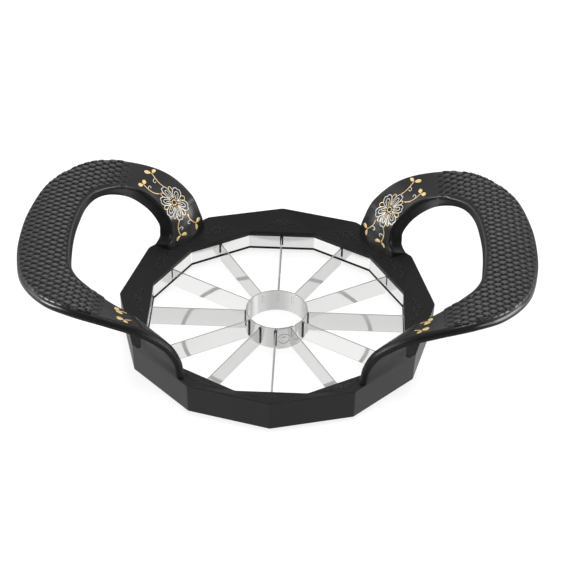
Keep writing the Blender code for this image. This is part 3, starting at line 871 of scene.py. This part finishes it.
def blossom_lines(size, lowered, stem, leaf_width):
    """The foil design on one leg: points, width shares and finish.

    Points are millimetres: the first runs up the leg and the second to its
    outer edge."""
    lines = []
    down = np.array([-lowered, 0.0])
    stretch = np.array([1.45, 1.18]) * size

    def petal(finish, width, turn, root, tip, fullness, notch=0):
        t = np.linspace(0, 1, 21)
        radius = root + (tip - root) * np.sin(math.pi * t) ** 0.55
        radius -= notch * np.exp(-((t - 0.5) / 0.07) ** 2)
        angle = turn + (t - 0.5) * 2 * math.pi / PETALS * fullness
        lines.append((down + round_points(angle) * radius[:, None] * stretch, width, finish))

    vein = np.linspace(0, 1, 6)
    for k in range(PETALS):
        turn = 2 * math.pi * k / PETALS + 0.22
        petal("silver", 1.0, turn, 1.5, 6.2, 0.94, 0.5)
        petal("silver", 0.9, turn, 1.9, 4.7, 0.52)
        petal("gold", 0.9, turn + math.pi / PETALS, 3.9, 5.6, 0.34)
        out = (1.3 + 2.2 * vein)[:, None]
        lines.append((down + round_points(turn) * out * stretch, 1.0 - 0.4 * vein, "gold"))
    turns = np.linspace(0, NEARLY_ROUND, 21)
    lines.append((down + 1.2 * round_points(turns), 1.0, "gold"))

    for start, bend, end in np.array(TENDRILS):
        start = start * size + down
        if end[0] < 0:
            bend, end = bend + down * 0.3, end + down * 0.3
        t = np.linspace(0, 1, 18)[:, None]
        line = (1 - t) ** 2 * start + 2 * t * (1 - t) * bend + t ** 2 * end
        if end[0] > 0:
            line = line[round(len(line) * (1 - stem)):]
        lines.append((line, 1.1, "gold"))
        tip, heading = line[-1], unit(line[-1] - line[-2])
        aside = np.array([-heading[1], heading[0]])
        t = np.linspace(0, 1, 11)[:, None]
        for hand in (-1, 1):
            leaf = (tip + heading * (0.1 + 1.5 * t)
                    + aside * hand * (0.4 + 3.0 * t - 0.7 * t ** 2))
            fullness = leaf_width * (1.2 + 4.2 * np.sin(math.pi * t[:, 0]) ** 0.8)
            lines.append((leaf, fullness, "gold"))
        if stem == 1:
            curl = np.linspace(0, 1.5 * math.pi, 15)
            hand = 1 if end[1] > 0 else -1
            ring = np.stack([np.sin(curl), hand * 1.5 * np.cos(curl)], axis=1)
            lines.append((line[11] + (0, -hand * 1.5) + ring * (1 - curl / 9)[:, None], 0.85,
                          "silver"))
    return lines


class SLICER_OT_blossoms(bpy.types.Operator):
    """Lays a foil blossom with leafy tendrils on each leg of the handles"""

    bl_idname = "slicer.blossoms"
    bl_label = "Blossoms"

    def execute(self, context):
        sizes = context.scene.slicer_foil
        mirror = Matrix.Scale(-1, 4, (0, 1, 0))
        for row, art in LEG_ART.items():
            for finish in FOILS:
                lines = [line[:2] for line in blossom_lines(**art) if line[2] == finish]
                right = line_art(f"blossom_{finish}_{row}_right", lines, leg_top,
                                 sizes.line_width, sizes.line_height, 0.03 * MM)
                if row == "front":
                    right.data.transform(mirror)
                    right.data.flip_normals()
                smooth(right, 60)
                settle(right, finish)
                left = copy_of(right, f"blossom_{finish}_{row}_left", to_side(6) @ mirror)
                settle(left, finish)
        return {"FINISHED"}


# Steel cartridge

def cut_slits(piece, radius, low_z, high_z, width):
    """Cuts a slit for each blade through a ring of sheet steel."""
    clean_slate()
    bpy.ops.mesh.primitive_cube_add(size=1, location=(radius, 0, (low_z + high_z) / 2),
                                    scale=(4 * MM, width, high_z - low_z))
    cutter = all_round(new_piece("slit"), "slits")
    apply_modifier(piece, "BOOLEAN", operation="DIFFERENCE", solver="MANIFOLD",
                   object=cutter)
    if not piece.data.polygons:
        raise RuntimeError(f"cutting the slits left nothing of {piece.name}")
    bpy.data.objects.remove(cutter, do_unlink=True)


class SLICER_OT_band(bpy.types.Operator):
    """Folds the steel band round the opening, with a slit for each blade"""

    bl_idname = "slicer.band"
    bl_label = "Steel band"

    def execute(self, context):
        sizes = context.scene.slicer_steel
        outside = BAND_INNER + sizes.thickness
        band = extruded_ring("folded_band", (
            (BAND_INNER, BAND_BOTTOM_Z), (BAND_INNER, BAND_TOP_Z), (outside, BAND_TOP_Z),
            (outside, BAND_BOTTOM_Z), (BAND_INNER, BAND_BOTTOM_Z)), True)
        select(band, "EDGE", lambda ends: abs(ends[0].z - ends[1].z) > 1 * MM)
        bpy.ops.mesh.bevel(offset=0.35 * MM, segments=4, affect="EDGES")
        mode("OBJECT")
        cut_slits(band, BAND_INNER, BAND_SLIT_Z, BAND_TOP_Z + 1 * MM, sizes.slit)
        round_edges(band, 0.06 * MM, 2)
        smooth(band, weighted=True)
        settle(band, "band", ["steel_band"])
        second_finish(band, "edge", lambda normal: abs(normal.z) > 0.8)
        return {"FINISHED"}


class SLICER_OT_core(bpy.types.Operator):
    """Rolls the core ring with its lap, slits and spot weld"""

    bl_idname = "slicer.core"
    bl_label = "Core ring"

    def execute(self, context):
        sizes = context.scene.slicer_steel
        step = sizes.thickness + LAP_GAP
        whole_turn = LAP_INNER_END + 2 * math.pi
        swept = np.linspace(0, whole_turn - LAP_OUTER_END, 240)
        angle = LAP_INNER_END - swept
        raised = smoothstep(swept, whole_turn - LAP_RAMP_FROM, whole_turn - LAP_RAMP_TO)
        radius = CORE_RADIUS - sizes.thickness / 2 + raised * step
        heights = np.linspace(0, CORE_HEIGHT, 5)
        core = laid_grid("rolled_core", np.array(
            [[(*place, z) for z in heights] for place in round_points(angle) * radius[:, None]]))
        apply_modifier(core, "SOLIDIFY", thickness=sizes.thickness, offset=0,
                       use_even_offset=True)
        cut_slits(core, CORE_RADIUS, TAB_BOTTOM_Z - 0.08 * MM, TAB_TOP_Z + 0.08 * MM,
                  CORE_SLIT)
        round_edges(core, 0.09 * MM, 3)
        smooth(core, weighted=True)

        surface = CORE_RADIUS + step
        clean_slate()
        bpy.ops.mesh.primitive_torus_add(major_radius=sizes.weld_radius, minor_radius=0.16 * MM,
                                         major_segments=48, minor_segments=10)
        weld = new_piece("spot_weld")
        mode("EDIT")
        bpy.ops.mesh.primitive_uv_sphere_add(
            segments=24, ring_count=12, radius=sizes.weld_radius * 0.5, scale=(1, 1, 0.10))
        mode("OBJECT")
        for vert in weld.data.vertices:
            across, up, out = vert.co
            around = WELD_ANGLE + across / surface
            out = surface + out * 0.5
            vert.co = (out * math.cos(around), out * math.sin(around), CORE_HEIGHT / 2 + up)
        mode("EDIT")
        seal()
        mode("OBJECT")
        smooth(weld, 60)
        settle(core, "core", ["core_ring"])
        second_finish(core, "edge", lambda normal: abs(normal.z) > 0.8)
        settle(weld, "core")
        return {"FINISHED"}


class SLICER_OT_blades(bpy.types.Operator):
    """Makes one blade with its tabs and ground edge, and sets twelve of them"""

    bl_idname = "slicer.blades"
    bl_label = "Blades"

    def execute(self, context):
        sizes = context.scene.slicer_steel
        start = CORE_RADIUS + 0.10 * MM
        end = BAND_INNER + sizes.thickness
        clean_slate()
        bpy.ops.mesh.primitive_cube_add(
            size=1, location=((start + end) / 2, 0, BLADE_TOP_Z / 2),
            scale=(end - start, sizes.thickness, BLADE_TOP_Z))
        blade = new_piece("blade_strip")
        mode("EDIT")
        for z in (sizes.grind, TAB_STEP_Z, TAB_BOTTOM_Z, TAB_TOP_Z):
            bpy.ops.mesh.select_all(action="SELECT")
            bpy.ops.mesh.bisect(plane_co=(0, 0, z), plane_no=(0, 0, 1))

        def select_end(x, low, high):
            """Selects the faces across the blade's end, between two heights."""
            select(blade, "FACE", lambda corners: all(
                abs(corner.x - x) < NEAR and low - NEAR < corner.z < high + NEAR
                for corner in corners))

        def pull_out(distance):
            bpy.ops.mesh.extrude_region_move(
                TRANSFORM_OT_translate={"value": (distance, 0, 0)})

        select_end(start, TAB_BOTTOM_Z, TAB_TOP_Z)
        pull_out(-sizes.thickness - 0.12 * MM)
        select_end(end, 0, TAB_STEP_Z)
        bpy.ops.transform.translate(value=(-sizes.thickness - 0.15 * MM, 0, 0))
        select_end(end, TAB_BOTTOM_Z, TAB_TOP_Z)
        pull_out(TAB_REACH)
        select(blade, "EDGE", lambda ends: max(end.z for end in ends) < NEAR)
        bpy.ops.transform.resize(value=(1, 0.2, 1))
        mode("OBJECT")
        round_edges(blade, 0.05 * MM, 2, 50)
        smooth(blade, weighted=True)
        for i in range(SIDES):
            twin = copy_of(blade, f"polished_blade_{i + 1:02d}", to_side(i))
            settle(twin, "blade", [f"blade_{i + 1:02d}"])
            second_finish(twin, "edge", lambda normal: normal.z > 0.8)
        bpy.data.objects.remove(blade, do_unlink=True)
        return {"FINISHED"}


class SLICER_OT_joint_shades(bpy.types.Operator):
    """Runs a dark bead of painted shade up both sides of each blade, where the gap at its joint
    with the core ring lies in shadow
    """

    bl_idname = "slicer.seams"
    bl_label = "Seams"

    def execute(self, context):
        sizes = context.scene.slicer_steel
        low, high = sizes.grind, BLADE_TOP_Z - 0.1 * MM
        beads = []
        for hand in (-1, 1):
            place = CORE_RADIUS + 0.12 * MM, hand * sizes.thickness / 2, (low + high) / 2
            clean_slate()
            bpy.ops.mesh.primitive_cylinder_add(
                vertices=12, radius=SHADE_BEAD_RADIUS, depth=high - low, location=place)
            bead = new_piece(f"bead_{hand}")
            round_edges(bead, 0.1 * MM, 2)
            beads.append(bead)
        # The beads are painted shade, dark where the gaps at the blade joints lie in shadow
        seam = join(beads, "seam")
        smooth(seam)
        settle(all_round(seam, "core_seams"), "seam")
        return {"FINISHED"}


class SLICER_OT_underside(bpy.types.Operator):
    """Gives the lower ring and its screws their finer materials"""

    bl_idname = "slicer.underside"
    bl_label = "Lower ring and screws"

    def execute(self, context):
        for name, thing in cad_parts.items():
            if name == "retaining_ring" or name.startswith("ring_screw"):
                finish = "ring" if name == "retaining_ring" else "screw"
                for slot in thing.material_slots:
                    slot.material = MATERIALS[finish]
        return {"FINISHED"}


# Floor, light and camera

CAMERA_AZIMUTH = 0.031730
CAMERA_ELEVATION = 0.670178
CAMERA_ROLL = 0.015076
CAMERA_DISTANCE = 637.36 * MM
CAMERA_TARGET = (0, 0, 12.2 * MM)
CAMERA_LENS = 99.38
CAMERA_SHIFT = (0.02262, 0.02472)

# Lamps: place, size, power and whether mirrors see them
LAMPS = {
    "Key": ((0.1, 0.45, 0.85), (0.6, 0.4), 4.5, False),
    "Fill": ((-0.1, -0.6, 0.8), (0.8, 0.6), 3.0, False),
    "Edge light": ((0.15, -0.30, 0.85), (0.30, 0.10), 1.5, True),
    "Right card": ((0.75, -0.15, 0.10), (0.5, 0.3), 2.6, True),
    "Left card": ((-0.75, -0.15, 0.10), (0.5, 0.3), 1.0, True),
}
# Cards in the tent, each a direction, a reach in degrees and a brightness: the
# windows, alike on both sides, and small ones low at the front, which are
# mirrored in the rounded edges of the grips
WINDOWS = (((0, 0.78, 0.62), 14, 1.8), ((0.8, 0.3, 0.5), 13, 2.6))
EDGE_CARDS = (
    ((0.96, -0.20, -0.12), 13, 4.0), ((0.88, -0.45, -0.04), 13, 4.5),
    ((0.72, -0.68, 0.06), 11, 4.0),
    ((-0.96, -0.24, 0.03), 5, 16.0), ((-0.92, -0.36, 0.10), 5, 20.0),
    ((-0.84, -0.48, 0.18), 5, 20.0), ((-0.74, -0.58, 0.26), 5, 14.0),
)


def studio_level(tree):
    """Brightness of the soft tent round the object, by direction.

    It is dark behind the camera and pale below, with a window high at the back
    and softer ones at both sides. The camera itself sees white."""
    direction = node(tree, "ShaderNodeTexCoord").outputs["Generated"]
    x, y, z = node(tree, "ShaderNodeSeparateXYZ", {0: direction}).outputs
    folded = node(tree, "ShaderNodeCombineXYZ",
                  {0: calculated(tree, "ABSOLUTE", x), 1: y, 2: z}).outputs[0]

    def eased(source, start, end, low, high):
        return mapped(tree, source, start, end, low, high, "SMOOTHSTEP")

    def mixed(share, one, two):
        return node(tree, "ShaderNodeMix", {0: share, 2: one, 3: two}).outputs[0]

    def product(value, *others):
        for other in others:
            value = calculated(tree, "MULTIPLY", value, other)
        return value

    def with_cards(value, source, cards):
        for centre, reach, level in cards:
            near = node(tree, "ShaderNodeVectorMath",
                        {0: source, 1: Vector(centre).normalized()},
                        operation="DOT_PRODUCT").outputs["Value"]
            rim, core = (math.cos(math.radians(reach * share)) for share in (1.25, 0.75))
            value = mixed(eased(near, rim, core, 0, 1), value, level)
        return value

    above = with_cards(product(eased(z, 0, 0.3, 0.30, 0.68), eased(y, -0.5, -0.25, 0.10, 1)),
                       folded, WINDOWS)
    near_horizon = eased(z, -0.56, -0.47, 0, 1)
    far = product(eased(y, 0.5, 0.8, 0, 1), near_horizon)
    front = product(eased(y, -0.3, 0, 1, 0), near_horizon)
    right_back = mixed(eased(y, 0.45, 0.6, 0, 1), 1, eased(x, 0.2, 0.38, 0.85, 1.25))
    right_card = mixed(eased(y, -0.2, -0.05, 0, 1), 1, eased(x, 0.71, 0.79, 1, 1.3))
    below = product(eased(y, -0.8, -0.4, 0.78, 0.98), eased(y, 0, 0.5, 1, 0.80),
                    eased(x, -0.7, 0.7, 1.05, 0.96), right_back,
                    mixed(far, mixed(front, right_card, 0.12), 0.25),
                    eased(z, -0.96, -0.76, 0.15, 1), eased(y, 0.71, 0.80, 1, 0.35))
    around = with_cards(mixed(eased(z, -0.05, 0.05, 0, 1), below, above), direction,
                        EDGE_CARDS)
    return mixed(node(tree, "ShaderNodeLightPath").outputs["Is Camera Ray"], around, 1)


def add_lamp(name, place, size, power, mirrored):
    """A rectangular lamp that faces the object."""
    lamp = bpy.data.lights.new(name, "AREA")
    lamp.shape = "RECTANGLE"
    lamp.size, lamp.size_y = size
    lamp.energy = power
    thing = bpy.data.objects.new(name, lamp)
    bpy.context.scene.collection.objects.link(thing)
    thing.location = place
    thing.rotation_euler = (-Vector(place)).to_track_quat("-Z", "Y").to_euler()
    thing.visible_glossy = mirrored


def add_floor(shade):
    """A pale floor that glows a little for the camera and that mirrors don't see."""
    clean_slate()
    bpy.ops.mesh.primitive_plane_add(size=6, location=(0, 0, -0.2 * MM))
    floor = new_piece("floor")
    material, tree, shader = new_material("Pale floor")
    fill(tree, shader, {"Base Color": (*shade, 1), "Roughness": 0.9, "Specular IOR Level": 0})
    path = node(tree, "ShaderNodeLightPath").outputs
    dim = node(tree, "ShaderNodeBsdfDiffuse", {"Color": (0.25, 0.25, 0.25, 1)})
    glow = node(tree, "ShaderNodeEmission", {"Strength": 0.82})
    seen = node(tree, "ShaderNodeAddShader", {0: dim.outputs[0], 1: glow.outputs[0]})
    direct = node(tree, "ShaderNodeMixShader",
                  {0: path["Is Camera Ray"], 1: shader.outputs[0], 2: seen.outputs[0]})
    clear = node(tree, "ShaderNodeBsdfTransparent")
    mirrored = calculated(tree, "MAXIMUM", path["Is Glossy Ray"], path["Is Transmission Ray"])
    surface = node(tree, "ShaderNodeMixShader",
                   {0: mirrored, 1: direct.outputs[0], 2: clear.outputs[0]})
    fill(tree, tree.nodes["Material Output"], {"Surface": surface.outputs[0]})
    floor.data.materials.append(material)


def add_hoop():
    """A grey hoop under the blades that only mirrors see, as a darker stripe on each."""
    clean_slate()
    bpy.ops.mesh.primitive_torus_add(major_radius=38 * MM, minor_radius=0.8 * MM,
                                     major_segments=96, minor_segments=8,
                                     location=(0, 0, -2 * MM))
    hoop = new_piece("mirrored_hoop")
    material, tree, _ = new_material("Mirrored hoop")
    grey = node(tree, "ShaderNodeEmission", {"Color": (0.45, 0.45, 0.45, 1)})
    fill(tree, tree.nodes["Material Output"], {"Surface": grey.outputs[0]})
    hoop.data.materials.append(material)
    for rays in ("camera", "diffuse", "transmission", "shadow"):
        setattr(hoop, f"visible_{rays}", False)


class SLICER_OT_stage(bpy.types.Operator):
    """Sets the floor, the light and the camera"""

    bl_idname = "slicer.stage"
    bl_label = "Floor, light and camera"

    def execute(self, context):
        scene = context.scene
        add_floor(scene.slicer_colours.floor)
        add_hoop()
        for name, lamp in LAMPS.items():
            add_lamp(name, *lamp)

        world = bpy.data.worlds.new("Studio")
        scene.world = world
        world.use_nodes = True
        tree = world.node_tree
        fill(tree, tree.nodes["Background"],
             {"Color": (1, 1, 1, 1), "Strength": studio_level(tree)})

        camera = bpy.data.cameras.new("Camera")
        thing = bpy.data.objects.new("Camera", camera)
        scene.collection.objects.link(thing)
        level = math.cos(CAMERA_ELEVATION)
        back = Vector((math.sin(CAMERA_AZIMUTH) * level, -math.cos(CAMERA_AZIMUTH) * level,
                       math.sin(CAMERA_ELEVATION)))
        right = Vector((math.cos(CAMERA_AZIMUTH), math.sin(CAMERA_AZIMUTH), 0))
        turn = Matrix((right, back.cross(right), back)).transposed()
        turn = turn @ Matrix.Rotation(CAMERA_ROLL, 3, "Z")
        place = Vector(CAMERA_TARGET) + back * CAMERA_DISTANCE
        thing.matrix_world = Matrix.Translation(place) @ turn.to_4x4()
        camera.sensor_width = 36
        camera.lens = CAMERA_LENS
        camera.shift_x, camera.shift_y = CAMERA_SHIFT
        camera.clip_start = 0.01
        scene.camera = thing
        scene.view_settings.view_transform = "Standard"
        return {"FINISHED"}


class SLICER_PT_panel(bpy.types.Panel):
    """Sizes, colours and pieces of the slicer"""

    bl_idname = "SLICER_PT_panel"
    bl_label = "Apple slicer"
    bl_space_type = "VIEW_3D"
    bl_region_type = "UI"
    bl_category = "Slicer"

    def draw(self, context):
        layout = self.layout
        for name in GROUPS:
            group = getattr(context.scene, name)
            box = layout.box()
            box.label(text=name.removeprefix("slicer_").title())
            for key in group.bl_rna.properties.keys():
                if key not in ("rna_type", "name"):
                    box.prop(group, key)
        for operator in OPERATORS:
            layout.operator(operator.bl_idname)


OPERATORS = (
    SLICER_OT_materials, SLICER_OT_frame, SLICER_OT_reliefs, SLICER_OT_handles,
    SLICER_OT_blossoms, SLICER_OT_band, SLICER_OT_core, SLICER_OT_blades,
    SLICER_OT_joint_shades, SLICER_OT_underside, SLICER_OT_stage,
)
GROUPS = {
    "slicer_moulding": SLICER_PG_moulding,
    "slicer_steel": SLICER_PG_steel,
    "slicer_foil": SLICER_PG_foil,
    "slicer_colours": SLICER_PG_colours,
}


def register():
    for group in (*GROUPS.values(), *OPERATORS, SLICER_PT_panel):
        bpy.utils.register_class(group)
    for name, group in GROUPS.items():
        setattr(bpy.types.Scene, name, PointerProperty(type=group))


def unregister():
    for name in GROUPS:
        delattr(bpy.types.Scene, name)
    for group in (SLICER_PT_panel, *OPERATORS, *GROUPS.values()):
        bpy.utils.unregister_class(group)


def main():
    register()
    bpy.ops.slicer.materials()
    bpy.ops.slicer.frame()
    bpy.ops.slicer.reliefs()
    bpy.ops.slicer.handles()
    bpy.ops.slicer.blossoms()
    bpy.ops.slicer.band()
    bpy.ops.slicer.core()
    bpy.ops.slicer.blades()
    bpy.ops.slicer.seams()
    bpy.ops.slicer.underside()
    bpy.ops.slicer.stage()
    clean_slate()


if __name__ == "__main__":
    main()
